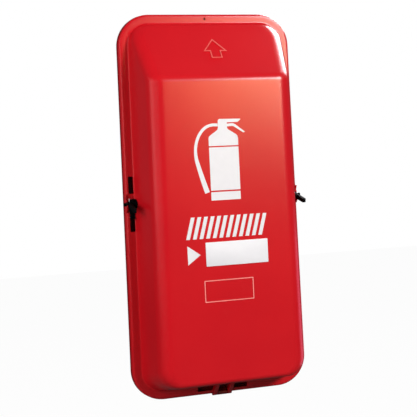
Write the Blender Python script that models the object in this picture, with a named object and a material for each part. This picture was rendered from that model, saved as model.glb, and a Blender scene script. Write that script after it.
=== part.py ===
# Wall cabinet for a portable fire extinguisher, in two moulded shells.
# Metres, +Z up, the wall plane is y = 0 and the cover faces -Y.
import bpy
import bmesh
import math
from mathutils import Matrix, Vector

for old in list(bpy.data.objects):
    bpy.data.objects.remove(old, do_unlink=True)

# Driving sizes, in metres
HEIGHT = 0.670
WIDTH_TOP = 0.3090
WIDTH_BOTTOM = 0.3224
RIM_RADIUS = 0.055
BACK_DEPTH = 0.090
COVER_DEPTH = 0.1004
BACK_WALL = 0.0032
COVER_WALL = 0.0032
SEAT_GAP = 0.0003
COVER_STEP_IN = 0.0012
FACE_BORDER = 0.0020
LIP_DEPTH = 0.0145
LIP_ROUND = 0.0045
FLANGE_WIDTH = 0.0170
SIDE_DRAFT = math.radians(11)
SIDE_ROUND = 0.0265
LOW_WALL_SHARE = 0.2
TOP_DRAW = 0.006
BOTTOM_DRAFT = math.radians(14)
BOTTOM_ROUND = 0.0095
CREASE_BELOW_TOP = 0.1195
CREASE_ROUND = 0.007
SLOPE_TOP_RISE = 0.0052
BACK_DRAFT = math.radians(7)
BACK_ROUND = 0.0065

LATCH_Z = 0.0105
SLOT_HALF = 0.0475
BRIDGE_ABOVE_PIVOT = 0.0098
BRIDGE_HEIGHT = 0.0082
SLOT_WIDTH = 0.0088
SLOT_FROM_EDGE = 0.0072
WINDOW_LOW = 0.0235
WINDOW_HIGH = 0.0040
HUB_WIDTH = 0.0060
HUB_RADIUS = 0.0085
HUB_FROM_SLOT = 0.0010
ARM_WIDTH = 0.0048
ARM_LENGTH = 0.0470
ARM_ROOT = 0.0084
ARM_TIP = 0.0070
ARM_CORNER = 0.0008
ARM_DROOP = math.radians(12)
LATCH_PIN_RADIUS = 0.0022
LATCH_PIN_PROUD = 0.0038
PIN_HEAD_RADIUS = 0.0030
PIN_HEAD_LENGTH = 0.0044
PIVOT_AHEAD = 0.0045
PIN_CLEAR = 0.0004
HOOK_LENGTH = 0.0240
HOOK_THICK = 0.0050
BARB = 0.0050
BARB_LENGTH = 0.0022
EAR_THICK = 0.0024
EAR_CLEAR = 0.0005
EYE_RADIUS = 0.0040
BOSS_RADIUS = 0.0090

HINGE_PIN_RADIUS = 0.0020
HINGE_KNUCKLE_RADIUS = 0.0044
HINGE_AHEAD = 0.0070
HINGE_ABOVE_FOOT = 0.0010
LUG_SPACING = 0.0275
LUG_WIDTH = 0.0075
LUG_CLEAR = 0.0010
RECESS_WIDTH = 0.092
RECESS_ABOVE_FOOT = 0.0075

SEAL_HOLE_RADIUS = 0.0020
SCREW_HOLE_RADIUS = 0.0040
SCREW_HOLE_FROM_SIDE = 0.078
SCREW_HOLE_FROM_END = 0.115

PLATE_WIDTH = 0.1090
PLATE_HEIGHT = 0.0400
PLATE_THICK = 0.0006
PLATE_CENTRE_X = 0.0118
PLATE_CENTRE_Z = -0.0772

ARROW_X = 0.0020
ARROW_ABOVE_CREASE = 0.0525
ARROW_WIDTH = 0.0410
ARROW_HEAD = 0.0290
ARROW_STEM = 0.0190
ARROW_TAIL = 0.0160
ARROW_LINE = 0.0018
ARROW_RAISE = 0.0010

HALF = HEIGHT / 2
CREASE_Z = HALF - CREASE_BELOW_TOP
HINGE_Z = -HALF + HINGE_ABOVE_FOOT
RECESS_LOW_Z = -HALF + RECESS_ABOVE_FOOT
ARROW_Z = CREASE_Z + ARROW_ABOVE_CREASE
PART_Y = -BACK_DEPTH
PANEL_Y = PART_Y - COVER_DEPTH
FLANGE_Y = PART_Y - LIP_DEPTH
COLUMNS = 8
ARC_STEPS = 8
SMOOTH = math.radians(40)


def material(name, colour, roughness, metallic=0.0):
    made = bpy.data.materials.new(name)
    made.use_nodes = True
    shader = made.node_tree.nodes["Principled BSDF"]
    shader.inputs["Base Color"].default_value = (*colour, 1.0)
    shader.inputs["Roughness"].default_value = roughness
    shader.inputs["Metallic"].default_value = metallic
    return made


RED = (0.55, 0.013, 0.018)
DARK_RED = (0.36, 0.010, 0.016)
BLACK = (0.012, 0.012, 0.013)
WHITE = (0.86, 0.86, 0.85)


def half_width(z):
    middle = (WIDTH_TOP + WIDTH_BOTTOM) / 4
    return middle + (WIDTH_TOP - WIDTH_BOTTOM) / 4 * z / HALF


slot_outer = half_width(LATCH_Z) - SLOT_FROM_EDGE
slot_inner = slot_outer - SLOT_WIDTH
screw_x = (WIDTH_TOP + WIDTH_BOTTOM) / 4 - SCREW_HOLE_FROM_SIDE
screw_z = HALF - SCREW_HOLE_FROM_END


def add_object(name, mesh, colour, roughness, smooth_angle=None):
    obj = bpy.data.objects.new(name, mesh)
    bpy.context.scene.collection.objects.link(obj)
    mesh.materials.append(material(name + "_material", colour, roughness))
    if smooth_angle is not None:
        mesh.shade_smooth()
        mesh.set_sharp_from_angle(angle=smooth_angle)
    return obj


def slope_share(z):
    """Share of the full rise that the front keeps at a height: 1 below the crease, little at the top."""
    top = HALF - FLANGE_WIDTH
    least = SLOPE_TOP_RISE / (COVER_DEPTH - LIP_DEPTH)
    fall = (1 - least) / (top - CREASE_Z)
    if z <= CREASE_Z - CREASE_ROUND:
        return 1.0
    if z < CREASE_Z + CREASE_ROUND:
        return 1 - fall * (z - CREASE_Z + CREASE_ROUND) ** 2 / (4 * CREASE_ROUND)
    return max(least, 1 - fall * (z - CREASE_Z))


def cover_section(level, z):
    """Inset from the side and depth of one level of the cover at a height.

    The rim keeps its own values. Above it a straight wall rises with its draft, and a round of one
    radius leads to the front. Where the slope leaves little height, both get lower but not narrower.
    """
    kind, amount, depth = level
    if kind == "rim":
        return amount, depth
    rise = (COVER_DEPTH - LIP_DEPTH) * slope_share(z)
    most = rise - SIDE_ROUND * (1 - math.sin(SIDE_DRAFT))
    least = LOW_WALL_SHARE * rise
    wall_rise = (most + least + math.hypot(most - least, 0.004)) / 2
    draft = math.tan(SIDE_DRAFT)
    if kind == "foot":
        height = min(amount, wall_rise / 4)
        return FLANGE_WIDTH + height * draft, LIP_DEPTH + height
    if kind == "wall":
        return FLANGE_WIDTH + amount * wall_rise * draft, LIP_DEPTH + amount * wall_rise
    turned = (math.sin(amount) - math.sin(SIDE_DRAFT)) / (1 - math.sin(SIDE_DRAFT))
    inset = FLANGE_WIDTH + wall_rise * draft + SIDE_ROUND * (math.cos(SIDE_DRAFT) - math.cos(amount))
    return inset, LIP_DEPTH + wall_rise + (rise - wall_rise) * turned


def back_section(level, z):
    return level[1], level[2]


def bottom_inset(depth):
    centre = COVER_DEPTH - BOTTOM_ROUND
    turn = centre + BOTTOM_ROUND * math.sin(BOTTOM_DRAFT)
    start = FLANGE_WIDTH - LIP_DEPTH * math.tan(BOTTOM_DRAFT)
    if depth <= turn:
        return start + depth * math.tan(BOTTOM_DRAFT)
    middle = start + turn * math.tan(BOTTOM_DRAFT) + BOTTOM_ROUND * math.cos(BOTTOM_DRAFT)
    return middle - math.sqrt(max(0.0, BOTTOM_ROUND ** 2 - (depth - centre) ** 2))


def cover_rings():
    """Each ring: level, added side inset, top inset, bottom inset, top radius, bottom radius."""
    rings = []
    edge = COVER_STEP_IN

    def plain(inset, depth):
        radius = RIM_RADIUS - inset
        rings.append((("rim", inset, depth), 0.0, inset, inset, radius, radius))

    plain(edge, 0.0)
    plain(edge, LIP_DEPTH - LIP_ROUND)
    for step in range(1, 5):
        turn = math.radians(90 * step / 4)
        plain(edge + LIP_ROUND * (1 - math.cos(turn)), LIP_DEPTH - LIP_ROUND * (1 - math.sin(turn)))
    plain(FLANGE_WIDTH - 0.0008, LIP_DEPTH)
    levels = [("foot", 0.0012, 0.0)] + [("wall", share, 0.0) for share in (0.4, 0.7, 1.0)]
    for step in range(1, 9):
        levels.append(("round", SIDE_DRAFT + (math.pi / 2 - SIDE_DRAFT) * step / 8, 0.0))
    last = cover_section(levels[-1], 0.0)[0] - FLANGE_WIDTH
    radius = RIM_RADIUS - FLANGE_WIDTH
    for level in levels:
        side, depth = cover_section(level, 0.0)
        share = (side - FLANGE_WIDTH) / last
        rings.append((level, 0.0, FLANGE_WIDTH + TOP_DRAW * share, bottom_inset(depth),
                      radius - 0.014 * share, radius - 0.016 * share))
    return rings


# Heights that every ring shares on its long sides: close together at the crease, and at the latches
fixed_rows = [CREASE_Z + CREASE_ROUND * k for k in (2.3, 1, 0.5, 0, -0.5, -1)]
upper_stretch = fixed_rows[-1] - (LATCH_Z + SLOT_HALF)
fixed_rows += [fixed_rows[5] - upper_stretch * share for share in (0.12, 0.65, 1)]
lower_stretch = LATCH_Z - SLOT_HALF + HALF - RIM_RADIUS - 0.010
fixed_rows += [LATCH_Z] + [LATCH_Z - SLOT_HALF - lower_stretch * share for share in (0, 0.40, 0.83)]


def outline_of(ring, section):
    """Points of a ring's right side, from the end of its top side to the end of its bottom side."""
    level, added, top, bottom, top_radius, bottom_radius = ring
    high, low = HALF - top, -HALF + bottom

    def point(z, pull):
        inset, depth = section(level, z)
        return half_width(z) - inset - added - pull, z, depth

    points = []
    for step in range(ARC_STEPS + 1):
        turn = math.pi / 2 * (1 - step / ARC_STEPS)
        points.append(point(high - top_radius * (1 - math.sin(turn)), top_radius * (1 - math.cos(turn))))
    start = points[-1][1]
    points += [point(start + (fixed_rows[0] - start) * share, 0.0) for share in (1 / 3, 2 / 3)]
    points += [point(z, 0.0) for z in fixed_rows]
    for step in range(ARC_STEPS + 1):
        turn = math.pi / 2 * step / ARC_STEPS
        points.append(point(low + bottom_radius * (1 - math.sin(turn)), bottom_radius * (1 - math.cos(turn))))
    return points


def across(point, turned=1):
    """A straight row of points from the left side to the right one, or back."""
    x, z, depth = point
    return [(x * turned * (2 * i / COLUMNS - 1), z, depth) for i in range(COLUMNS + 1)]


def once_round(ring, section):
    """Points once round a ring, clockwise from the top left as seen from the front."""
    column = outline_of(ring, section)
    left = [(-x, z, depth) for x, z, depth in reversed(column[1:-1])]
    return across(column[0]) + column[1:-1] + across(column[-1], -1) + left


def face_outwards(bm, name, forward):
    """Turns an open surface so that its flat parts look away from the cabinet's inside."""
    bmesh.ops.recalc_face_normals(bm, faces=bm.faces)
    flattest = max(bm.faces, key=lambda face: abs(face.normal.y))
    if flattest.normal.y * forward < 0:
        bmesh.ops.reverse_faces(bm, faces=bm.faces)
    mesh = bpy.data.meshes.new(name)
    bm.to_mesh(mesh)
    bm.free()
    return mesh


def wall_mesh(name, rings, section, forward):
    """Bridges the rings from the rim inwards and leaves the middle open."""
    bm = bmesh.new()
    loops = []
    for ring in rings:
        points = once_round(ring, section)
        loops.append([bm.verts.new((x, PART_Y + forward * depth, z)) for x, z, depth in points])
    count = len(loops[0])
    for near, far in zip(loops, loops[1:]):
        for i in range(count):
            j = (i + 1) % count
            bm.faces.new((near[i], near[j], far[j], far[i]))
    return face_outwards(bm, name, forward)


def face_mesh(name, ring, section, forward):
    """Fills one ring with straight rows across."""
    bm = bmesh.new()
    grid = []
    for point in outline_of(ring, section):
        grid.append([bm.verts.new((x, PART_Y + forward * depth, z)) for x, z, depth in across(point)])
    for high, low in zip(grid, grid[1:]):
        for i in range(COLUMNS):
            bm.faces.new((high[i], high[i + 1], low[i + 1], low[i]))
    return face_outwards(bm, name, forward)


def drawn_in(ring, step):
    """The same ring a step further in on the flat."""
    level, added, top, bottom, top_radius, bottom_radius = ring
    return level, added + step, top + step, bottom + step, top_radius - step, bottom_radius - step


def cutter(name, bm):
    mesh = bpy.data.meshes.new(name)
    bmesh.ops.recalc_face_normals(bm, faces=bm.faces)
    bm.to_mesh(mesh)
    bm.free()
    obj = bpy.data.objects.new(name, mesh)
    bpy.context.scene.collection.objects.link(obj)
    obj.hide_render = True
    obj.display_type = "WIRE"
    return obj


def add_box(bm, low, high):
    size = [b - a for a, b in zip(low, high)]
    centre = [(a + b) / 2 for a, b in zip(low, high)]
    matrix = Matrix.Translation(centre) @ Matrix.Diagonal((*size, 1))
    bmesh.ops.create_cube(bm, size=1.0, matrix=matrix)


def add_rod(bm, start, end, radius, segments=24):
    axis = Vector(end) - Vector(start)
    turn = Vector((0, 0, 1)).rotation_difference(axis).to_matrix().to_4x4()
    matrix = Matrix.Translation((Vector(start) + Vector(end)) / 2) @ turn
    bmesh.ops.create_cone(bm, cap_ends=True, segments=segments, radius1=radius, radius2=radius,
                          depth=axis.length, matrix=matrix)


def cut(obj, name, bm, operation="DIFFERENCE"):
    tool = cutter(name, bm)
    step = obj.modifiers.new(name, "BOOLEAN")
    step.operation = operation
    step.solver = "EXACT"
    step.object = tool


def thicken(obj, wall):
    step = obj.modifiers.new("wall", "SOLIDIFY")
    step.thickness = wall
    step.offset = -1.0
    step.use_even_offset = True
    step.use_rim = True


def prism(points, axis, start, end):
    """A solid with the outline points (u, v), pushed along one axis from start to end."""
    bm = bmesh.new()
    order = {"X": lambda u, v, w: (w, u, v), "Y": lambda u, v, w: (u, w, v)}[axis]
    face = bm.faces.new([bm.verts.new(order(u, v, start)) for u, v in points])
    pushed = bmesh.ops.extrude_face_region(bm, geom=[face])
    moved = [g for g in pushed["geom"] if isinstance(g, bmesh.types.BMVert)]
    bmesh.ops.translate(bm, verts=moved, vec=Vector(order(0, 0, end - start)))
    bmesh.ops.recalc_face_normals(bm, faces=bm.faces)
    return bm


def skin(loops):
    """A solid through loops of points that have the same count, closed at both ends."""
    bm = bmesh.new()
    rows = [[bm.verts.new(point) for point in loop] for loop in loops]
    for near, far in zip(rows, rows[1:]):
        for i in range(len(near)):
            j = (i + 1) % len(near)
            bm.faces.new((near[i], near[j], far[j], far[i]))
    bm.faces.new(rows[0])
    bm.faces.new(rows[-1])
    bmesh.ops.recalc_face_normals(bm, faces=bm.faces)
    return bm


def finish(name, bm, colour, roughness, smooth_angle=math.radians(35)):
    mesh = bpy.data.meshes.new(name)
    bm.to_mesh(mesh)
    bm.free()
    return add_object(name, mesh, colour, roughness, smooth_angle)


# Front cover: its rim and walls, and the flat front with the slope
rings = cover_rings()
walls = rings + [drawn_in(rings[-1], FACE_BORDER)]
cover = add_object("front_cover", wall_mesh("front_cover", walls, cover_section, -1), RED, 0.35, SMOOTH)
thicken(cover, COVER_WALL)
inner_ring = drawn_in(rings[-1], FACE_BORDER + SEAT_GAP)
face = add_object("cover_face", face_mesh("cover_face", inner_ring, cover_section, -1), RED, 0.35, SMOOTH)
thicken(face, COVER_WALL)

slots = bmesh.new()
for side in (-1, 1):
    xs = sorted((side * slot_inner, side * slot_outer))
    bridge_low = LATCH_Z + BRIDGE_ABOVE_PIVOT
    for low, high in ((LATCH_Z - SLOT_HALF, bridge_low), (bridge_low + BRIDGE_HEIGHT, LATCH_Z + SLOT_HALF)):
        add_box(slots, (xs[0], FLANGE_Y - 0.004, low), (xs[1], FLANGE_Y + COVER_WALL + 0.002, high))
cut(cover, "latch_slots", slots)

recess = bmesh.new()
add_box(recess, (-RECESS_WIDTH / 2, FLANGE_Y - 0.0006, RECESS_LOW_Z),
        (RECESS_WIDTH / 2, FLANGE_Y + COVER_WALL + 0.002, -HALF + FLANGE_WIDTH - 0.0012))
cut(cover, "hinge_recess", recess)

notch_half = (LUG_SPACING + LUG_WIDTH) / 2 + LUG_CLEAR
notch = bmesh.new()
add_box(notch, (-notch_half, FLANGE_Y - 0.004, -HALF - 0.010),
        (notch_half, PART_Y + 0.004, RECESS_LOW_Z + 0.001))
cut(cover, "hinge_notch", notch)

seal_hole = bmesh.new()
seal_z = HALF - 0.0095
add_rod(seal_hole, (0, FLANGE_Y - 0.004, seal_z), (0, FLANGE_Y + 0.008, seal_z), SEAL_HOLE_RADIUS)
cut(cover, "seal_hole", seal_hole)


# Back shell: its rim and walls, and the flat back that lies on the wall
def back_rings():
    rings = []
    flange = SEAT_GAP + BACK_WALL

    def plain(inset, depth):
        radius = max(RIM_RADIUS - inset, 0.012)
        rings.append((("rim", inset, depth), 0.0, inset, inset, radius, radius))

    plain(0.0, flange)
    plain(FLANGE_WIDTH - 0.001, flange)
    plain(FLANGE_WIDTH, flange + 0.001)
    turn_depth = BACK_DEPTH - BACK_ROUND + BACK_ROUND * math.sin(BACK_DRAFT)
    for depth in (BACK_DEPTH / 2, turn_depth):
        plain(FLANGE_WIDTH + (depth - flange) * math.tan(BACK_DRAFT), depth)
    middle = rings[-1][2] + BACK_ROUND * math.cos(BACK_DRAFT)
    for step in range(1, 5):
        turn = BACK_DRAFT + (math.pi / 2 - BACK_DRAFT) * step / 4
        plain(middle - BACK_ROUND * math.cos(turn), BACK_DEPTH - BACK_ROUND * (1 - math.sin(turn)))
    return rings


rings = back_rings()
walls = rings + [drawn_in(rings[-1], FACE_BORDER)]
back = add_object("back_shell", wall_mesh("back_shell", walls, back_section, 1), DARK_RED, 0.45, SMOOTH)
thicken(back, BACK_WALL)
inner_ring = drawn_in(rings[-1], FACE_BORDER + SEAT_GAP)
panel = add_object("back_panel", face_mesh("back_panel", inner_ring, back_section, 1), DARK_RED, 0.45, SMOOTH)
thicken(panel, BACK_WALL)

windows = bmesh.new()
for side in (-1, 1):
    xs = sorted((side * slot_inner, side * slot_outer))
    add_box(windows, (xs[0], PART_Y - 0.003, LATCH_Z - WINDOW_LOW),
            (xs[1], PART_Y + SEAT_GAP + BACK_WALL + 0.002, LATCH_Z + WINDOW_HIGH))
cut(back, "hook_windows", windows)

screw_holes = bmesh.new()
for x in (-screw_x, screw_x):
    for z in (-screw_z, screw_z):
        add_rod(screw_holes, (x, -0.010, z), (x, 0.005, z), SCREW_HOLE_RADIUS)
cut(panel, "screw_holes", screw_holes)


# Bottom hinge
hinge_y = PART_Y - HINGE_AHEAD
bore = HINGE_PIN_RADIUS + SEAT_GAP


def arc(centre, radius, first, last, steps):
    turns = [math.radians(first + (last - first) * i / steps) for i in range(steps + 1)]
    return [(centre[0] + radius * math.cos(t), centre[1] + radius * math.sin(t)) for t in turns]


lug_low = -HALF + bottom_inset(LIP_DEPTH + 0.004) - 2 * SEAT_GAP
lug_front = -HALF + bottom_inset(LIP_DEPTH + 0.018) - 2 * SEAT_GAP
lug_outline = [(FLANGE_Y - 0.004, lug_low), (FLANGE_Y - 0.018, lug_front), (FLANGE_Y - 0.010, HINGE_Z + 0.011)]
lug_outline += arc((hinge_y, HINGE_Z), HINGE_KNUCKLE_RADIUS, 210, 380, 12)
lug_outline += [(hinge_y + 0.0032, HINGE_Z + 0.0052), (FLANGE_Y + 0.0022, RECESS_LOW_Z + 0.004)]
for name, side in (("hinge_lug_left", -1), ("hinge_lug_right", 1)):
    middle = side * LUG_SPACING / 2
    lug = finish(name, prism(lug_outline, "X", middle - LUG_WIDTH / 2, middle + LUG_WIDTH / 2), RED, 0.4)
    hole = bmesh.new()
    add_rod(hole, (middle - LUG_WIDTH, hinge_y, HINGE_Z), (middle + LUG_WIDTH, hinge_y, HINGE_Z), bore)
    cut(lug, name + "_bore", hole)

block_half = LUG_SPACING / 2 - LUG_WIDTH / 2 - LUG_CLEAR
block_outline = [(PART_Y, HINGE_Z - HINGE_KNUCKLE_RADIUS), (PART_Y, HINGE_Z + HINGE_KNUCKLE_RADIUS + 0.003)]
block_outline += arc((hinge_y, HINGE_Z), HINGE_KNUCKLE_RADIUS, 135, 270, 12)
block = finish("hinge_block", prism(block_outline, "X", -block_half, block_half), DARK_RED, 0.45)
hole = bmesh.new()
add_rod(hole, (-block_half - 0.002, hinge_y, HINGE_Z), (block_half + 0.002, hinge_y, HINGE_Z), bore)
cut(block, "hinge_block_bore", hole)

rod = bmesh.new()
pin_half = (LUG_SPACING + LUG_WIDTH) / 2 + LUG_CLEAR / 2
add_rod(rod, (-pin_half, hinge_y, HINGE_Z), (pin_half, hinge_y, HINGE_Z), HINGE_PIN_RADIUS)
finish("hinge_pin", rod, (0.30, 0.30, 0.31), 0.35)


# Side latches: a black lever on a pin between a black boss at the wall and a red ear on the rim
pivot_y = FLANGE_Y - PIVOT_AHEAD
seat_y = FLANGE_Y - SEAT_GAP
latch_bore = LATCH_PIN_RADIUS + PIN_CLEAR
hub_x = slot_inner + HUB_FROM_SLOT
arm_x = hub_x + HUB_WIDTH
ear_x = arm_x + ARM_WIDTH + EAR_CLEAR


def drooped(points):
    """Points (forward, up) about the pivot, turned down by the droop, as (y, z)."""
    cosine, sine = math.cos(ARM_DROOP), math.sin(ARM_DROOP)
    return [(pivot_y - f * cosine - u * sine, LATCH_Z - f * sine + u * cosine) for f, u in points]


def hub_outline():
    """A disc with a hook below it, which catches behind the back shell's rim."""
    half = HOOK_THICK / 2
    beside = math.degrees(math.asin(half / HUB_RADIUS))
    above = BARB_LENGTH - HOOK_LENGTH
    hook = [(-half, -HOOK_LENGTH), (half + BARB, -HOOK_LENGTH), (half + BARB, above), (half, above)]
    return arc((0, 0), HUB_RADIUS, beside - 90, 270 - beside, 26) + hook


def arm_outline():
    end, side, corner = ARM_LENGTH, ARM_TIP / 2, ARM_CORNER
    tip = [(end - corner, -side), (end, corner - side), (end, side - corner), (end - corner, side)]
    return tip + arc((0, 0), ARM_ROOT / 2, 90, 270, 10)


def ear_outline():
    """A plate with a round eye for the pin, a tooth below it and a lower one above it."""
    seat = -PIVOT_AHEAD
    lower = [(seat - 0.0030, -0.0147), (seat, -0.0147), (EYE_RADIUS, -0.0068)]
    upper = [(seat + 0.0010, 0.0088), (seat + 0.0046, 0.0167), (seat - 0.0030, 0.0167)]
    return lower + arc((0, 0), EYE_RADIUS, 0, 90, 6) + upper


def bore_rod(side, start, end):
    hole = bmesh.new()
    ends = [(side * x, pivot_y, LATCH_Z) for x in (start - 0.002, end + 0.002)]
    add_rod(hole, *ends, latch_bore)
    return hole


def lip_cutter(side):
    """The rim's outer shape, a gap larger, beside an ear that is seated on it."""
    loops = []
    for z in (LATCH_Z - 0.020, LATCH_Z + 0.022):
        middle = half_width(z) - COVER_STEP_IN - LIP_ROUND
        rounded = arc((middle, 0), LIP_ROUND + SEAT_GAP, 90, 0, 10)
        points = [(slot_inner, PART_Y), (slot_inner, seat_y)]
        points += [(x, FLANGE_Y + LIP_ROUND - forward) for x, forward in rounded]
        points += [(middle + LIP_ROUND + SEAT_GAP, PART_Y)]
        loops.append([(side * x, y, z) for x, y in points])
    return skin(loops)


def boss_loop(side, end):
    """Outline of the boss at its end on the lever's side, or at the cover's drafted wall."""
    turn = 180 - math.degrees(math.acos((PIVOT_AHEAD - SEAT_GAP - 0.0005) / BOSS_RADIUS))
    loop = []
    for forward, up in arc((0, 0), BOSS_RADIUS, -turn, turn, 20):
        y, z = pivot_y - forward, LATCH_Z + up
        wall_x = half_width(z) - FLANGE_WIDTH + SEAT_GAP - (FLANGE_Y - y) * math.tan(SIDE_DRAFT)
        loop.append((side * (hub_x - EAR_CLEAR if end else wall_x), y, z))
    return loop


for word, side in (("left", -1), ("right", 1)):
    hub = prism(drooped(hub_outline()), "X", side * hub_x, side * arm_x)
    lever = finish("latch_lever_" + word, hub, BLACK, 0.4)
    arm = prism(drooped(arm_outline()), "X", side * (arm_x - 0.0003), side * (arm_x + ARM_WIDTH))
    cut(lever, "lever_arm_" + word, arm, "UNION")
    cut(lever, "lever_bore_" + word, bore_rod(side, hub_x, arm_x + ARM_WIDTH))

    outline = [(pivot_y - forward, LATCH_Z + up) for forward, up in ear_outline()]
    plate = prism(outline, "X", side * ear_x, side * (ear_x + EAR_THICK))
    ear = finish("latch_ear_outer_" + word, plate, RED, 0.4)
    cut(ear, "ear_seat_" + word, lip_cutter(side))
    cut(ear, "ear_outer_bore_" + word, bore_rod(side, ear_x, ear_x + EAR_THICK))

    boss = skin([boss_loop(side, 0), boss_loop(side, 1)])
    finish("latch_ear_inner_" + word, boss, BLACK, 0.4)

    pin_end = half_width(LATCH_Z) + LATCH_PIN_PROUD
    head = pin_end - PIN_HEAD_LENGTH
    profile = [(hub_x - EAR_CLEAR + SEAT_GAP, LATCH_PIN_RADIUS), (head, LATCH_PIN_RADIUS)]
    profile += [(head + 0.0005, PIN_HEAD_RADIUS - 0.0004), (head + 0.0012, PIN_HEAD_RADIUS)]
    for along, less in ((0.0012, 0), (0.0004, 0.0004), (0, 0.0012)):
        profile += [(pin_end - along, PIN_HEAD_RADIUS - less)]
    loops = []
    for x, radius in profile:
        loops.append([(side * x, y, z) for y, z in arc((pivot_y, LATCH_Z), radius, 0, 345, 23)])
    finish("latch_pin_" + word, skin(loops), BLACK, 0.4)


# Number plate on the flat front
bm = bmesh.new()
plate_x = (PLATE_CENTRE_X - PLATE_WIDTH / 2, PLATE_CENTRE_X + PLATE_WIDTH / 2)
plate_z = (PLATE_CENTRE_Z - PLATE_HEIGHT / 2, PLATE_CENTRE_Z + PLATE_HEIGHT / 2)
plate_y = PANEL_Y - SEAT_GAP
add_box(bm, (plate_x[0], plate_y - PLATE_THICK, plate_z[0]), (plate_x[1], plate_y, plate_z[1]))
finish("number_plate", bm, WHITE, 0.4)

# Raised outline of an arrow on the sloped top
fall = (COVER_DEPTH - LIP_DEPTH - SLOPE_TOP_RISE) / (HALF - FLANGE_WIDTH - CREASE_Z)
slope_turn = math.atan(fall)
bm = bmesh.new()
half_head = ARROW_WIDTH / 2
half_stem = ARROW_STEM / 2
low = -(ARROW_HEAD + ARROW_TAIL) / 2
outline = [(0, low + ARROW_HEAD + ARROW_TAIL), (half_head, low + ARROW_TAIL), (half_stem, low + ARROW_TAIL),
           (half_stem, low), (-half_stem, low), (-half_stem, low + ARROW_TAIL), (-half_head, low + ARROW_TAIL)]
face = bm.faces.new([bm.verts.new((x, 0, v)) for x, v in outline])
bm.normal_update()
bmesh.ops.inset_individual(bm, faces=[face], thickness=ARROW_LINE, use_even_offset=True)
bmesh.ops.delete(bm, geom=[face], context="FACES")
pushed = bmesh.ops.extrude_face_region(bm, geom=list(bm.faces))
moved = [g for g in pushed["geom"] if isinstance(g, bmesh.types.BMVert)]
bmesh.ops.translate(bm, verts=moved, vec=(0, -ARROW_RAISE, 0))
bmesh.ops.recalc_face_normals(bm, faces=bm.faces)
centre_y = PART_Y - cover_section(("round", math.pi / 2, 0.0), ARROW_Z)[1]
away = Vector((0, -math.cos(slope_turn), math.sin(slope_turn)))
place = Matrix.Translation(Vector((ARROW_X, centre_y, ARROW_Z)) + away * SEAT_GAP)
bmesh.ops.transform(bm, verts=bm.verts, matrix=place @ Matrix.Rotation(slope_turn, 4, "X").inverted())
finish("up_arrow", bm, RED, 0.35)


# Pivots: the cover turns on the bottom pin, each lever on its own
def pivot(name, point, children, parent=None):
    empty = bpy.data.objects.new(name, None)
    bpy.context.scene.collection.objects.link(empty)
    empty.location = point
    if parent:
        empty.parent = parent
        empty.matrix_parent_inverse = Matrix.Translation(parent.location).inverted()
    for child in children:
        obj = bpy.data.objects[child]
        obj.parent = empty
        obj.matrix_parent_inverse = Matrix.Translation(point).inverted()
    return empty


moving = ["front_cover", "cover_face", "hinge_lug_left", "hinge_lug_right", "number_plate", "up_arrow"]
for word in ("left", "right"):
    moving += [piece + word for piece in ("latch_ear_outer_", "latch_ear_inner_", "latch_pin_")]
hinge = pivot("cover_hinge", (0, hinge_y, HINGE_Z), moving)
for word, side in (("left", -1), ("right", 1)):
    place = (side * (hub_x + HUB_WIDTH / 2), pivot_y, LATCH_Z)
    pivot("lever_pivot_" + word, place, ["latch_lever_" + word], hinge)
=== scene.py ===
# Wall cabinet in red moulded plastic for a portable fire extinguisher.
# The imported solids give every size; the surfaces here are their finely made skins.
import math

import bmesh
import bpy
import numpy as np
from mathutils import Matrix, Vector


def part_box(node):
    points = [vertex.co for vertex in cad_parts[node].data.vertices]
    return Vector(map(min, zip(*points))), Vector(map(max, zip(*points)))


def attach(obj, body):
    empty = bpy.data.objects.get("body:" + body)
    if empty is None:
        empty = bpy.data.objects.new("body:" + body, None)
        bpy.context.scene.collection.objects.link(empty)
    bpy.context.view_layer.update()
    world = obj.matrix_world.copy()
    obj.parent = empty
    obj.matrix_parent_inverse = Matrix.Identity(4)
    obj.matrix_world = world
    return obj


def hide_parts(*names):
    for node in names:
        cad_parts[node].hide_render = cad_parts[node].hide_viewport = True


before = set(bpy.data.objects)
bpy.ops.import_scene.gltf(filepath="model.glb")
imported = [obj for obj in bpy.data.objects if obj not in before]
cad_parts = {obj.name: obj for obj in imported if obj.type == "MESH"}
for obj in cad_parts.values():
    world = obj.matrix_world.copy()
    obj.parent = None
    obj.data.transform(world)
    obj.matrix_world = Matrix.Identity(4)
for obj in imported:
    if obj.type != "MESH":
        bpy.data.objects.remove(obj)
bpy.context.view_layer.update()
print("frame loaded:", len(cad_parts), "solids")

# Sizes that the pieces share, in metres, as the solids have them
shell = {
    "height": 0.670, "widthTop": 0.3090, "widthBottom": 0.3224, "rimRadius": 0.055,
    "backDepth": 0.090, "coverDepth": 0.1004, "wall": 0.0032, "seatGap": 0.0003,
    "stepIn": 0.0012, "lipDepth": 0.0145, "lipRound": 0.0045, "flangeWidth": 0.0170, "fillet": 0.0022,
    "sideDraft": math.radians(11), "sideRound": 0.0265, "bottomDraft": math.radians(14), "bottomRound": 0.0095,
    "creaseZ": 0.2155, "creaseRound": 0.007, "topRise": 0.0052, "topDraw": 0.006, "lowWallShare": 0.2,
    "topTighter": 0.014, "bottomTighter": 0.016, "leastRadius": 0.012, "cutPast": 0.004,
    "backDraft": math.radians(7), "backRound": 0.0065, "backCorner": 0.001, "wallBlend": 0.004,
    "filletShare": 0.45,
}
half = shell["height"] / 2
partY = -shell["backDepth"]
flangeY = partY - shell["lipDepth"]
panelY = partY - shell["coverDepth"]


# Camera: the place and turn worked out from the cabinet's own outline
view = {"place": (-0.44775, -1.63197, 0.07209), "yaw": 16.0, "pitch": -2.78, "roll": -2.85,
        "focalPixels": 905.0, "imagePixels": 417, "sensor": 36.0}


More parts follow.
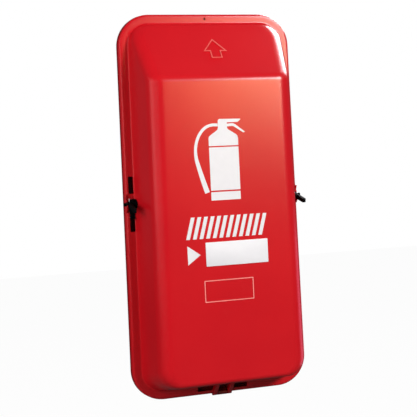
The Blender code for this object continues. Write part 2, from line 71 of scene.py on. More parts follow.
def makeCamera():
    yaw, pitch, roll = (math.radians(view[k]) for k in ("yaw", "pitch", "roll"))
    forward = Vector((math.sin(yaw) * math.cos(pitch), math.cos(yaw) * math.cos(pitch), math.sin(pitch)))
    level = Vector((math.cos(yaw), -math.sin(yaw), 0))
    up = level.cross(forward)
    right = math.cos(roll) * level + math.sin(roll) * up
    above = -math.sin(roll) * level + math.cos(roll) * up
    data = bpy.data.cameras.new("camera")
    data.sensor_width = view["sensor"]
    data.lens = view["focalPixels"] / view["imagePixels"] * view["sensor"]
    camera = bpy.data.objects.new("camera", data)
    camera.matrix_world = Matrix.Translation(view["place"]) @ Matrix((right, above, -forward)).transposed().to_4x4()
    bpy.context.scene.collection.objects.link(camera)
    bpy.context.scene.camera = camera


makeCamera()
print("camera placed")


# Shader maths: a Field is a socket's value, and + and * on it add Math nodes
class Field:
    def __init__(self, paint, socket):
        self.paint = paint
        self.socket = socket

    def join(self, operation, first, second):
        return self.paint.node("ShaderNodeMath", {"operation": operation}, {0: first, 1: second})

    def __add__(self, other):
        return self.join("ADD", self, other)

    def __radd__(self, other):
        return self.join("ADD", other, self)

    def __mul__(self, other):
        return self.join("MULTIPLY", self, other)


class Paint:
    # One material: its shader, the place on the object, and a method that adds any other node
    def __init__(self, name):
        self.material = bpy.data.materials.new(name)
        self.material.use_nodes = True
        self.tree = self.material.node_tree
        self.shader = self.tree.nodes["Principled BSDF"]
        self.place = self.node("ShaderNodeTexCoord", output="Object")

    def connect(self, socket, value):
        if isinstance(value, Field):
            self.tree.links.new(value.socket, socket)
        else:
            socket.default_value = value

    def node(self, kind, settings=None, inputs=None, output=0):
        made = self.tree.nodes.new(kind)
        for key, value in (settings or {}).items():
            setattr(made, key, value)
        for key, value in (inputs or {}).items():
            self.connect(made.inputs[key], value)
        return Field(self, made.outputs[output])

    def noise(self, scale, detail=2.0, rough=0.5, stretch=None):
        vector = self.place
        if stretch:
            vector = self.node("ShaderNodeMapping", {}, {"Vector": self.place, "Scale": stretch})
        return self.node("ShaderNodeTexNoise", {}, {"Vector": vector, "Scale": scale, "Detail": detail,
                                                    "Roughness": rough})

    def steps(self, value, low, high):
        # 0 below low, 1 above high, straight in between
        return self.node("ShaderNodeMapRange", {}, {"Value": value, "From Min": low, "From Max": high})

    def mix(self, share, first, second):
        return self.node("ShaderNodeMix", {"data_type": "RGBA"}, {0: share, 6: first, 7: second}, 2)

    def bump(self, height, distance, strength=1.0, under=None):
        inputs = {"Height": height, "Distance": distance, "Strength": strength}
        if under:
            inputs["Normal"] = under
        return self.node("ShaderNodeBump", {}, inputs)

    def set(self, **values):
        for key, value in values.items():
            self.connect(self.shader.inputs[key.replace("_", " ")], value)
        return self.material


def colour(red, green, blue):
    # A display colour, 0 to 255, as the linear values that a shader takes
    shares = [c / 255 for c in (red, green, blue)]
    return (*[s / 12.92 if s <= 0.04045 else ((s + 0.055) / 1.055) ** 2.4 for s in shares], 1.0)


plastic = {"cover": colour(208, 21, 30), "coverDeep": colour(201, 17, 28), "coverRoughness": 0.225,
           "back": colour(146, 12, 21), "backDeep": colour(132, 10, 19), "backRoughness": 0.40,
           # The arrow's paler red and its deep tone are a painted highlight for the glints along the raised arrow's
           # edges
           "arrow": colour(238, 108, 100), "arrowGlintDeep": colour(230, 84, 78), "arrowRoughness": 0.24,
           "rubbed": colour(232, 120, 112), "eye": colour(13, 12, 13), "eyeBlend": 0.0003}
latchFinish = {"main": colour(13, 13, 14), "worn": colour(40, 40, 41), "roughness": 0.55, "gloss": 0.02}
ink = {"white": colour(236, 234, 234), "whiteMottled": colour(228, 226, 226), "plate": colour(235, 234, 235),
       "plateMottled": colour(229, 227, 229), "thin": colour(246, 150, 142), "thinMottled": colour(238, 128, 122),
       "pinhole": colour(226, 170, 165), "roughness": 0.38, "plateRoughness": 0.46, "gloss": 0.25,
       "behind": 0.00004, "thick": 0.00022}
pinFinish = {"main": colour(150, 150, 152), "roughness": 0.30}


def redPlastic(name, main, deep, roughness, eye=None, eyeSize=0.0):
    # Moulded plastic: a slow drift of colour, fine grain, faint flow waves and a few rubbed spots.
    # Where a point is given as the eye, the plastic is black within the eye's size of it
    paint = Paint(name)
    drift = paint.noise(6.0, 3.0)
    grain = paint.noise(1500.0, 2.0, 0.6)
    waves = paint.noise(38.0, 2.0, 0.4)
    rubbed = paint.steps(paint.noise(24.0, 6.0, 0.7), 0.60, 0.78)
    scratches = paint.steps(paint.noise(260.0, 3.0, 0.6, (1.0, 1.0, 0.045)), 0.70, 0.80) * rubbed
    base = paint.mix(paint.steps(drift, 0.35, 0.65), main, deep)
    base = paint.mix(rubbed * 0.03 + scratches * 0.08, base, plastic["rubbed"])
    if eye:
        away = paint.node("ShaderNodeVectorMath", {"operation": "DISTANCE"}, {0: paint.place, 1: eye}, "Value")
        inside = paint.steps(away, eyeSize + plastic["eyeBlend"], eyeSize - plastic["eyeBlend"])
        base = paint.mix(inside, base, plastic["eye"])
    normal = paint.bump(waves, 0.0009, 0.10)
    normal = paint.bump(paint.noise(430.0, 2.0, 0.5), 0.00016, 0.30, normal)
    normal = paint.bump(grain + scratches * -0.4, 0.00010, 0.25, normal)
    return paint.set(Base_Color=base, Roughness=roughness + grain * 0.04 + rubbed * 0.03, Normal=normal,
                     IOR=1.49)


coverRed = redPlastic("cover_red", plastic["cover"], plastic["coverDeep"], plastic["coverRoughness"])
backRed = redPlastic("back_red", plastic["back"], plastic["backDeep"], plastic["backRoughness"])


def blackPlastic():
    paint = Paint("latch_black")
    grain = paint.noise(2200.0, 2.0, 0.6)
    worn = paint.steps(paint.noise(180.0, 4.0, 0.6), 0.60, 0.75)
    base = paint.mix(worn * 0.5, latchFinish["main"], latchFinish["worn"])
    return paint.set(Base_Color=base, Roughness=latchFinish["roughness"] + worn * 0.12,
                     Specular_IOR_Level=latchFinish["gloss"],
                     Normal=paint.bump(grain, 0.0001, 0.4))


def paleInk(name, main, mottled, roughness):
    # Screen printed ink: a trace of mottle and fine pinholes
    paint = Paint(name)
    mottle = paint.steps(paint.noise(70.0, 4.0, 0.6), 0.35, 0.75)
    pinholes = paint.steps(paint.noise(900.0, 2.0, 0.5), 0.74, 0.80)
    base = paint.mix(mottle * 0.5, main, mottled)
    base = paint.mix(pinholes * 0.6, base, ink["pinhole"])
    return paint.set(Base_Color=base, Roughness=roughness + mottle * 0.05, Specular_IOR_Level=ink["gloss"],
                     Normal=paint.bump(mottle, 0.00015, 0.25))


def pinSteel():
    paint = Paint("pin_steel")
    brushed = paint.noise(900.0, 3.0, 0.6, (0.05, 1.0, 1.0))
    return paint.set(Base_Color=pinFinish["main"], Metallic=1.0, Roughness=pinFinish["roughness"] + brushed * 0.2,
                     Normal=paint.bump(brushed, 0.00005, 0.5))


latchBlack = blackPlastic()
inkWhite = paleInk("ink_white", ink["white"], ink["whiteMottled"], ink["roughness"])
plateWhite = paleInk("plate_white", ink["plate"], ink["plateMottled"], ink["plateRoughness"])
inkThin = paleInk("ink_thin", ink["thin"], ink["thinMottled"], ink["roughness"])
steel = pinSteel()
print("finishes made")


# Mesh helpers
def addMesh(name, points, faces, material, sharp=35.0):
    mesh = bpy.data.meshes.new(name)
    mesh.from_pydata(np.asarray(points, float).reshape(-1, 3).tolist(), [], np.asarray(faces).tolist())
    return addObject(name, mesh, material, sharp)


def addObject(name, mesh, material, sharp=35.0):
    made = bpy.data.objects.new(name, mesh)
    bpy.context.scene.collection.objects.link(made)
    mesh.materials.append(material)
    mesh.shade_smooth()
    mesh.set_sharp_from_angle(angle=math.radians(sharp))
    return made


def cutAway(target, boxes=(), rods=()):
    # Cuts boxes (low corner, high corner) and rods (start, end, radius) out of a piece, then keeps the result
    bm = bmesh.new()
    for low, high in boxes:
        low, high = Vector(low), Vector(high)
        size = Matrix.Diagonal((*(high - low), 1))
        bmesh.ops.create_cube(bm, size=1.0, matrix=Matrix.Translation((low + high) / 2) @ size)
    for start, end, radius in rods:
        start, end = Vector(start), Vector(end)
        turn = Vector((0, 0, 1)).rotation_difference(end - start).to_matrix().to_4x4()
        bmesh.ops.create_cone(bm, cap_ends=True, segments=48, radius1=radius, radius2=radius,
                              depth=(end - start).length, matrix=Matrix.Translation((start + end) / 2) @ turn)
    mesh = bpy.data.meshes.new("cutter")
    bm.to_mesh(mesh)
    bm.free()
    tool = bpy.data.objects.new("cutter", mesh)
    bpy.context.scene.collection.objects.link(tool)
    combine(target, tool, "DIFFERENCE")


def combine(target, tool, operation):
    # Joins the tool to a piece or cuts it out, keeps the result and removes the tool
    step = target.modifiers.new("combine", "BOOLEAN")
    step.operation = operation
    step.solver = "EXACT"
    step.object = tool
    keepShape(target)
    mesh = tool.data
    bpy.data.objects.remove(tool)
    bpy.data.meshes.remove(mesh)


def keepShape(target, sharp=35.0):
    # Turns the modifiers' result into the piece's own mesh
    graph = bpy.context.evaluated_depsgraph_get()
    made = bpy.data.meshes.new_from_object(target.evaluated_get(graph))
    old = target.data
    target.modifiers.clear()
    target.data = made
    bpy.data.meshes.remove(old)
    made.name = target.name
    made.shade_smooth()
    made.set_sharp_from_angle(angle=math.radians(sharp))


def softenEdges(target, width, segments=3, angle=30.0):
    step = target.modifiers.new("soft", "BEVEL")
    step.width = width
    step.segments = segments
    step.limit_method = "ANGLE"
    step.angle_limit = math.radians(angle)
    step.harden_normals = False
    keepShape(target)


def pushed(name, loops, axis, start, end, material, sharp=35.0):
    # A flat outline (u, v) with holes, filled and carried straight along one axis from start to end
    order = {"X": lambda u, v, w: (w, u, v), "Y": lambda u, v, w: (u, w, v)}[axis]
    bm = bmesh.new()
    for loop in loops:
        corners = [bm.verts.new(order(u, v, start)) for u, v in loop]
        for i, corner in enumerate(corners):
            bm.edges.new((corner, corners[(i + 1) % len(corners)]))
    bmesh.ops.triangle_fill(bm, use_beauty=True, edges=list(bm.edges))
    grown = bmesh.ops.extrude_face_region(bm, geom=list(bm.faces))
    moved = [g for g in grown["geom"] if isinstance(g, bmesh.types.BMVert)]
    bmesh.ops.translate(bm, verts=moved, vec=Vector(order(0, 0, end - start)))
    bmesh.ops.recalc_face_normals(bm, faces=bm.faces)
    bmesh.ops.dissolve_limit(bm, angle_limit=math.radians(0.5), verts=bm.verts, edges=bm.edges)
    mesh = bpy.data.meshes.new(name)
    bm.to_mesh(mesh)
    bm.free()
    return addObject(name, mesh, material, sharp)


def arc(centre, radius, first, last, steps):
    turn = np.radians(np.linspace(first, last, steps + 1))
    return np.column_stack((centre[0] + radius * np.cos(turn), centre[1] + radius * np.sin(turn)))


def settle(piece, body, slot, *nodes):
    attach(piece, body)
    if nodes:
        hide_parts(*nodes)


# The two shells
def halfWidth(z):
    # Half the cabinet's width at a height: a straight taper, narrower at the top
    middle = (shell["widthTop"] + shell["widthBottom"]) / 4
    return middle + (shell["widthTop"] - shell["widthBottom"]) / 4 * z / half


def slopeShare(z):
    # Share of the front's full rise that is left at a height: 1 below the crease, a parabola across
    # the crease's round, then a straight fall to the low rise at the top
    s = shell
    least = s["topRise"] / (s["coverDepth"] - s["lipDepth"])
    fall = (1 - least) / (half - s["flangeWidth"] - s["creaseZ"])
    rounded = 1 - fall * (z - s["creaseZ"] + s["creaseRound"]) ** 2 / (4 * s["creaseRound"])
    straight = np.maximum(least, 1 - fall * (z - s["creaseZ"]))
    share = np.where(z < s["creaseZ"] + s["creaseRound"], rounded, straight)
    return np.where(z <= s["creaseZ"] - s["creaseRound"], 1.0, share)


def bottomInset(depth):
    # How far the cover's underside has drawn in at a depth: a straight draft, then a quarter round
    s = shell
    draft = math.tan(s["bottomDraft"])
    centre = s["coverDepth"] - s["bottomRound"]
    turn = centre + s["bottomRound"] * math.sin(s["bottomDraft"])
    start = s["flangeWidth"] - s["lipDepth"] * draft
    middle = start + turn * draft + s["bottomRound"] * math.cos(s["bottomDraft"])
    curved = middle - np.sqrt(np.maximum(0.0, s["bottomRound"] ** 2 - (depth - centre) ** 2))
    return np.where(depth <= turn, start + depth * draft, curved)


# Steps of the shells' grids, and shares of the straight runs at which a ring stands
grid = {"across": 36, "arc": 18, "aboveCorner": 0.024, "lipRing": 0.35, "flangeRing": 0.62, "backRing": 0.5}
# A ring's row: kind, amount, rim depth, side inset, top inset, bottom inset, top radius, bottom radius
rim, fillet, wall, curve = range(4)


def coverSection(rings, z):
    # Side inset and depth of the cover's rings at heights z. Above the rim a wall rises with its draft
    # out of a small fillet, and a round of one radius, the angle its amount, leads to the front.
    # Where the slope leaves little height, both get lower but not narrower
    s = shell
    kind, amount, depth, side = (rings[:, i:i + 1] for i in range(4))
    draft, radius = s["sideDraft"], s["sideRound"]
    rise = (s["coverDepth"] - s["lipDepth"]) * slopeShare(z)
    most, least = rise - radius * (1 - math.sin(draft)), s["lowWallShare"] * rise
    wallRise = (most + least + np.hypot(most - least, s["wallBlend"])) / 2
    foot = np.minimum(s["fillet"], wallRise * s["filletShare"])
    height = [0 * z, foot * (1 - np.cos(amount)), foot + amount * (wallRise - foot),
              wallRise + (rise - wallRise) * (np.sin(amount) - math.sin(draft)) / (1 - math.sin(draft))]
    inset = [0 * z, height[1] * math.tan(draft) - foot * (1 - np.sin(amount)), height[2] * math.tan(draft),
             wallRise * math.tan(draft) + radius * (math.cos(draft) - np.cos(amount))]
    picked = [kind == k for k in range(4)]
    return (np.where(picked[0], side, s["flangeWidth"] + np.select(picked, inset)),
            np.where(picked[0], depth, s["lipDepth"] + np.select(picked, height)))


def backSection(rings, z):
    return rings[:, 3:4] + 0 * z, rings[:, 2:3] + 0 * z


def coverRings():
    # Rings from the rim inwards: a rounded lip, the flat flange, a fillet, the wall and the round
    s = shell
    edge, lip, width = s["stepIn"], s["lipDepth"], s["flangeWidth"]
    turn = np.radians(np.linspace(0, 90, 9))
    rounded = np.column_stack((edge + s["lipRound"] * (1 - np.cos(turn)),
                               lip - s["lipRound"] * (1 - np.sin(turn))))
    plain = np.vstack(([(edge, 0.0), (edge, lip * grid["lipRing"]), (edge, lip - s["lipRound"])], rounded[1:],
                       [(width * grid["flangeRing"], lip), (width - s["fillet"], lip)]))
    inset = plain[:, 0]
    outer = np.column_stack((0 * inset, 0 * inset, plain[:, 1], inset, inset, inset, s["rimRadius"] - inset,
                             s["rimRadius"] - inset))
    kinds = np.repeat((fillet, wall, curve), (6, 8, 16))
    amounts = np.concatenate((np.radians(np.linspace(15, 90, 6)), np.linspace(0, 1, 9)[1:],
                              np.linspace(s["sideDraft"], math.pi / 2, 17)[1:]))
    inner = np.column_stack([kinds, amounts] + [0 * amounts] * 6)
    side, depth = (column[:, 0] for column in coverSection(inner, np.zeros((len(inner), 1))))
    share = np.clip((side - width) / (side[-1] - width), 0, 1)
    pull = np.where(kinds == fillet, s["fillet"] * (1 - np.sin(amounts)), 0)
    inner[:, 4] = width + s["topDraw"] * share - pull
    inner[:, 5] = bottomInset(depth) - pull
    inner[:, 6] = s["rimRadius"] - width - s["topTighter"] * share
    inner[:, 7] = s["rimRadius"] - width - s["bottomTighter"] * share
    return np.vstack((outer, inner))


def backRings():
    # The back shell: a flat rim, a small step, a drafted wall and a rounded edge round the flat back
    s = shell
    level = s["seatGap"] + s["wall"]
    width = s["flangeWidth"]
    straight = np.linspace(level + s["backCorner"],
                           s["backDepth"] - s["backRound"] * (1 - math.sin(s["backDraft"])), 10)
    inset = width + (straight - level) * math.tan(s["backDraft"])
    middle = inset[-1] + s["backRound"] * math.cos(s["backDraft"])
    turn = np.linspace(s["backDraft"], math.pi / 2, 10)[1:]
    rows = [(0.0, level), (width * grid["backRing"], level), (width - s["backCorner"], level)]
    rows += list(zip(inset, straight))
    rows += list(zip(middle - s["backRound"] * np.cos(turn), s["backDepth"] - s["backRound"] * (1 - np.sin(turn))))
    inset, depth = np.array(rows).T
    radius = np.maximum(s["rimRadius"] - inset, s["leastRadius"])
    return np.column_stack((0 * inset, 0 * inset, depth, inset, inset, inset, radius, radius))


# The side latches: heights are about the pivot, and "fromSlot" and widths run along x
latch = {
    "z": 0.0105, "pivotAhead": 0.0045, "slotHalf": 0.0475, "slotWidth": 0.0088, "slotFromEdge": 0.0072,
    "bridgeAbove": 0.0098, "bridgeHeight": 0.0082, "windowLow": 0.0235, "windowHigh": 0.0090,
    "hubFromSlot": 0.0010, "hubWidth": 0.0060, "hubExtra": 0.0011, "hubRadius": 0.0085,
    "webAngle": 205.0, "webDepth": 0.0045, "hookLength": 0.0240, "hookThick": 0.0050,
    "barb": 0.0050, "barbLength": 0.0022, "leverSoft": 0.0005,
    "armWidth": 0.0048, "armLength": 0.0470, "armRoot": 0.0084, "armTip": 0.0070, "armCorner": 0.0008,
    "armInHub": 0.0003, "droop": math.radians(12),
    "pinRadius": 0.0022, "pinProud": 0.0038, "pinClear": 0.0004, "headRadius": 0.0030, "headLength": 0.0044,
    "headRound": 0.0014, "headEdge": 0.0002, "headSlant": (0.0004, 0.0003), "headFlat": 0.0010,
    "earThick": 0.0024, "earClear": 0.0005, "earLow": 0.0147, "earLowSlant": 0.0068, "earHigh": 0.0167,
    "earNotch": 0.0088, "earBehind": 0.0030, "earTooth": 0.0046, "earToothRoot": 0.0010,
    "eyeRadius": 0.0040, "earBlack": 0.0044, "earSoft": 0.0004, "lipPastEar": 0.0053,
    "bossRadius": 0.0090, "bossSoft": 0.0007, "bossClear": 0.0005,
}
hinge = {
    "pinRadius": 0.0020, "knuckleRadius": 0.0044, "ahead": 0.0070, "aboveFoot": 0.0010, "spacing": 0.0275,
    "lugWidth": 0.0075, "lugSoft": 0.0004, "clear": 0.0010, "recessWidth": 0.092, "recessAboveFoot": 0.0075,
    "lugHeel": 0.004, "lugToe": 0.018, "lugChin": (0.010, 0.011), "lugNape": (0.0032, 0.0052),
    "lugRoot": (0.0022, 0.004), "recessBelowWall": 0.0012,
}
sealHole = {"fromTop": 0.0095, "radius": 0.0020}
screwHole = {"x": 0.07985, "z": 0.220, "radius": 0.0040}
# How far each cutter reaches past the plastic that it cuts
reach = {"flange": 0.002, "recess": 0.0006, "seal": 0.008, "notchBelow": 0.010, "notchAbove": 0.001,
         "window": 0.003, "screwBefore": 0.010, "screwBehind": 0.005, "boreInner": 0.002, "boreOuter": 0.006}


def heightRows():
    # Heights shared by all rings on the long sides, close together at the crease
    s = shell
    near = s["creaseZ"] + s["creaseRound"] * np.concatenate((np.linspace(3.5, 1.5, 4), np.linspace(1, -1, 13)))
    upper = np.linspace(near[-1], latch["z"] + latch["slotHalf"], 12)[1:]
    middle = np.linspace(upper[-1], latch["z"] - latch["slotHalf"], 7)[1:]
    lower = np.linspace(middle[-1], -half + s["rimRadius"] + grid["aboveCorner"], 14)[1:]
    return np.concatenate((near, upper, middle, lower))


def shellSurface(name, rings, section, forward, material):
    # Point (ring, step round it): each ring is a rounded rectangle, its right side worked out as x and
    # depth of z and mirrored; the last ring is filled by straight rows across
    top, bottom, topRadius, bottomRadius = (rings[:, i:i + 1] for i in range(4, 8))
    turn = np.linspace(math.pi / 2, 0, grid["arc"] + 1)[None, :]
    topZ = half - top - topRadius * (1 - np.sin(turn))
    lowZ = -half + bottom + bottomRadius * (1 - np.sin(turn[:, ::-1]))
    fixed = np.repeat(heightRows()[None, :], len(rings), axis=0)
    between = topZ[:, -1:] + (fixed[:, :1] - topZ[:, -1:]) * np.linspace(0, 1, 9)[None, 1:-1]
    z = np.hstack((topZ, between, fixed, lowZ))
    pull = np.hstack((topRadius * (1 - np.cos(turn)), 0 * between, 0 * fixed,
                      bottomRadius * (1 - np.cos(turn[:, ::-1]))))
    inset, depth = section(rings, z)
    x = halfWidth(z) - inset - pull
    y = partY + forward * depth

    share = np.linspace(-1, 1, grid["across"] + 1)[None, :]

    def onceRound(values, mirror):
        ends = (share, -share) if mirror < 0 else (1 + 0 * share, 1 + 0 * share)
        return np.hstack((values[:, :1] * ends[0], values[:, 1:-1], values[:, -1:] * ends[1],
                          mirror * values[:, -2:0:-1]))

    loops = np.stack((onceRound(x, -1), onceRound(y, 1), onceRound(z, 1)), axis=2)
    points = loops.reshape(-1, 3)
    rows, count = z.shape[1], loops.shape[1]
    insideX = x[-1, 1:-1, None] * share[0, 1:-1]
    insideY, insideZ = (values[-1, 1:-1, None] + 0 * insideX for values in (y, z))
    inside = np.stack((insideX, insideY, insideZ), axis=2).reshape(-1, 3)

    index = np.arange(len(rings) * count).reshape(len(rings), count)
    near, far = index[:-1], index[1:]
    quads = [np.stack((near, np.roll(near, -1, 1), np.roll(far, -1, 1), far), axis=2).reshape(-1, 4)]
    last = index[-1]
    width = grid["across"] + 1
    fill = np.zeros((rows, width), int)
    fill[0] = last[:width]
    fill[-1] = last[width + rows - 2:2 * width + rows - 2][::-1]
    fill[1:-1, -1] = last[width:width + rows - 2]
    fill[1:-1, 0] = last[2 * width + rows - 2:][::-1]
    fill[1:-1, 1:-1] = len(points) + np.arange(insideX.size).reshape(insideX.shape)
    quads.append(np.stack((fill[:-1, :-1], fill[:-1, 1:], fill[1:, 1:], fill[1:, :-1]), axis=2).reshape(-1, 4))
    quads = np.vstack(quads)
    if forward < 0:
        quads = quads[:, ::-1]
    made = addMesh(name, np.vstack((points, inside)), quads, material)
    step = made.modifiers.new("wall", "SOLIDIFY")
    step.thickness = shell["wall"]
    step.offset = -1.0
    step.use_even_offset = False
    step.use_rim = True
    keepShape(made)
    return made


slotOuter = float(halfWidth(latch["z"])) - latch["slotFromEdge"]
slotInner = slotOuter - latch["slotWidth"]
hingeZ = -half + hinge["aboveFoot"]
recessZ = -half + hinge["recessAboveFoot"]


def sides(low, high):
    # The same stretch of x on the left and on the right
    return ((-high, -low), (low, high))


coverSkin = shellSurface("cover_skin", coverRings(), coverSection, -1, coverRed)
notch = (hinge["spacing"] + hinge["lugWidth"]) / 2 + hinge["clear"]
bridgeLow = latch["z"] + latch["bridgeAbove"]
slots = ((latch["z"] - latch["slotHalf"], bridgeLow),
         (bridgeLow + latch["bridgeHeight"], latch["z"] + latch["slotHalf"]))
before, deep = flangeY - shell["cutPast"], flangeY + shell["wall"] + reach["flange"]
boxes = [((a, before, low), (b, deep, high))
         for a, b in sides(slotInner, slotOuter) for low, high in slots]
boxes.append(((-hinge["recessWidth"] / 2, flangeY - reach["recess"], recessZ),
              (hinge["recessWidth"] / 2, deep, -half + shell["flangeWidth"] - hinge["recessBelowWall"])))
sealZ = half - sealHole["fromTop"]
cutAway(coverSkin, boxes, [((0, before, sealZ), (0, flangeY + reach["seal"], sealZ), sealHole["radius"])])
cutAway(coverSkin, [((-notch, before, -half - reach["notchBelow"]),
                     (notch, partY + shell["cutPast"], recessZ + reach["notchAbove"]))])
settle(coverSkin, "cover", "red_cover", "front_cover", "cover_face")

backSkin = shellSurface("back_skin", backRings(), backSection, 1, backRed)
windowLow, windowHigh = latch["z"] - latch["windowLow"], latch["z"] + latch["windowHigh"]
boxes = [((a, partY - reach["window"], windowLow),
          (b, partY + shell["seatGap"] + shell["wall"] + reach["flange"], windowHigh))
         for a, b in sides(slotInner, slotOuter)]
holes = [((x, -reach["screwBefore"], z), (x, reach["screwBehind"], z), screwHole["radius"])
         for x in (-screwHole["x"], screwHole["x"]) for z in (-screwHole["z"], screwHole["z"])]
cutAway(backSkin, boxes, holes)
settle(backSkin, "base", "red_back", "back_shell", "back_panel")
print("shells made")


# Side latches: a black lever on a pin between a black boss at the wall and a red ear on the rim
pivotY = flangeY - latch["pivotAhead"]
hubX = slotInner + latch["hubFromSlot"]
armX = hubX + latch["hubWidth"]
earX = armX + latch["armWidth"] + latch["earClear"]
latchBore = latch["pinRadius"] + latch["pinClear"]


def fromPivot(points, droop=0.0):
    # Points (forward, up) about the pivot, turned down by the droop, as (y, z)
    forward, up = np.asarray(points, float).T
    return np.column_stack((pivotY - forward * math.cos(droop) - up * math.sin(droop),
                            latch["z"] - forward * math.sin(droop) + up * math.cos(droop)))


def hubOutline():
    # A disc with a hook below it that widens towards the disc and catches behind the back shell's rim
    thick, low, barb = latch["hookThick"] / 2, -latch["hookLength"], latch["barb"]
    beside = math.degrees(math.asin(thick / latch["hubRadius"]))
    above = low + latch["barbLength"]
    return np.vstack((arc((0, 0), latch["hubRadius"], beside - 90, latch["webAngle"], 44),
                      [(-thick - latch["webDepth"], low + latch["webDepth"]), (-thick, low),
                       (thick + barb, low), (thick + barb, above), (thick, above)]))


def armOutline():
    end, side, corner = latch["armLength"], latch["armTip"] / 2, latch["armCorner"]
    return np.vstack(([(end - corner, -side), (end, corner - side), (end, side - corner), (end - corner, side)],
                      arc((0, 0), latch["armRoot"] / 2, 90, 270, 16)))


def earOutline():
    # A plate with a round eye for the pin, a tooth below it and a lower one above it
    seat, eye = -latch["pivotAhead"], latch["eyeRadius"]
    behind, low, high = seat - latch["earBehind"], -latch["earLow"], latch["earHigh"]
    return np.vstack(([(behind, low), (seat, low), (eye, -latch["earLowSlant"])], arc((0, 0), eye, 0, 90, 10),
                      [(seat + latch["earToothRoot"], latch["earNotch"]), (seat + latch["earTooth"], high),
                       (behind, high)]))


def skinned(name, loops, material):
    # Loops of points with the same count, joined by quads and closed at both ends
    loops = np.asarray(loops, float)
    index = np.arange(loops.shape[0] * loops.shape[1]).reshape(loops.shape[:2])
    near, far = index[:-1], index[1:]
    quads = np.stack((near, np.roll(near, -1, 1), np.roll(far, -1, 1), far), axis=2).reshape(-1, 4)
    mesh = bpy.data.meshes.new(name)
    ends = [index[0][::-1].tolist(), index[-1].tolist()]
    mesh.from_pydata(loops.reshape(-1, 3).tolist(), [], quads.tolist() + ends)
    bm = bmesh.new()
    bm.from_mesh(mesh)
    bmesh.ops.recalc_face_normals(bm, faces=bm.faces)
    bm.to_mesh(mesh)
    bm.free()
    return addObject(name, mesh, material)


def lipShape(side):
    # The rim's outer shape, a gap larger, beside an ear that is seated on it
    gap, lip = shell["seatGap"], shell["lipRound"]
    loops = []
    for z in (latch["z"] - latch["earLow"] - latch["lipPastEar"],
              latch["z"] + latch["earHigh"] + latch["lipPastEar"]):
        middle = float(halfWidth(z)) - shell["stepIn"] - lip
        rounded = arc((middle, 0), lip + gap, 90, 0, 16) * (1, -1) + (0, flangeY + lip)
        points = np.vstack(([(slotInner, partY), (slotInner, flangeY - gap)], rounded,
                            [(middle + lip + gap, partY)]))
        loops.append(np.column_stack((side * points[:, 0], points[:, 1], 0 * points[:, 0] + z)))
    return skinned("lip", loops, coverRed)


def bossLoop(side, atWall):
    # The boss is a disc cut off at the flange; one end lies along the cover's drafted wall
    radius, gap = latch["bossRadius"], shell["seatGap"]
    turn = 180 - math.degrees(math.acos((latch["pivotAhead"] - gap - latch["bossClear"]) / radius))
    y, z = fromPivot(arc((0, 0), radius, -turn, turn, 36)).T
    wallX = halfWidth(z) - shell["flangeWidth"] + gap - (flangeY - y) * math.tan(shell["sideDraft"])
    return np.column_stack((side * (wallX if atWall else 0 * z + hubX - latch["earClear"]), y, z))


def pinLoops(side):
    # The pin's profile (along x, radius): a shaft, then a head with rounded edges, carried round its axis
    end = float(halfWidth(latch["z"])) + latch["pinProud"]
    head, radius, shaft = end - latch["headLength"], latch["headRadius"], latch["pinRadius"]
    corner, edge, (slant, under) = latch["headRound"], latch["headEdge"], latch["headSlant"]
    profile = np.vstack(([(hubX - latch["earClear"] + shell["seatGap"], shaft), (head - edge, shaft),
                          (head, shaft + edge), (head + slant, radius - under), (head + latch["headFlat"], radius)],
                         arc((end - corner, radius - corner), corner, 90, 12, 5)))
    turn = np.linspace(0, 2 * math.pi, 33)[:-1]
    along, wide = profile[:, :1], profile[:, 1:]
    return np.stack((side * along + 0 * turn, pivotY + wide * np.cos(turn), latch["z"] + wide * np.sin(turn)),
                    axis=2)


for word, side in (("left", -1), ("right", 1)):
    earOuter, droop = earX + latch["earThick"], latch["droop"]
    bore = ((side * (hubX - reach["boreInner"]), pivotY, latch["z"]),
            (side * (earX + reach["boreOuter"]), pivotY, latch["z"]), latchBore)
    lever = pushed("lever_" + word, [fromPivot(hubOutline(), droop)], "X", side * hubX,
                   side * (armX + latch["hubExtra"]), latchBlack)
    arm = pushed("arm_" + word, [fromPivot(armOutline(), droop)], "X", side * (armX - latch["armInHub"]),
                 side * (armX + latch["armWidth"]), latchBlack)
    combine(lever, arm, "UNION")
    softenEdges(lever, latch["leverSoft"])
    cutAway(lever, rods=[bore])
    settle(lever, "lever_" + word, "black_latch", "latch_lever_" + word)

    earRed = redPlastic("ear_red_" + word, plastic["cover"], plastic["coverDeep"], plastic["coverRoughness"],
                        (side * (earX + latch["earThick"] / 2), pivotY, latch["z"]), latch["earBlack"])
    ear = pushed("ear_outer_" + word, [fromPivot(earOutline())], "X", side * earX, side * earOuter, earRed)
    softenEdges(ear, latch["earSoft"])
    combine(ear, lipShape(side), "DIFFERENCE")
    cutAway(ear, rods=[bore])
    settle(ear, "cover", "red_cover", "latch_ear_outer_" + word)

    boss = skinned("boss_" + word, [bossLoop(side, True), bossLoop(side, False)], latchBlack)
    softenEdges(boss, latch["bossSoft"])
    settle(boss, "cover", "black_latch", "latch_ear_inner_" + word)
    pin = skinned("pin_" + word, pinLoops(side), latchBlack)
    settle(pin, "cover", "black_latch", "latch_pin_" + word)
print("latches made")


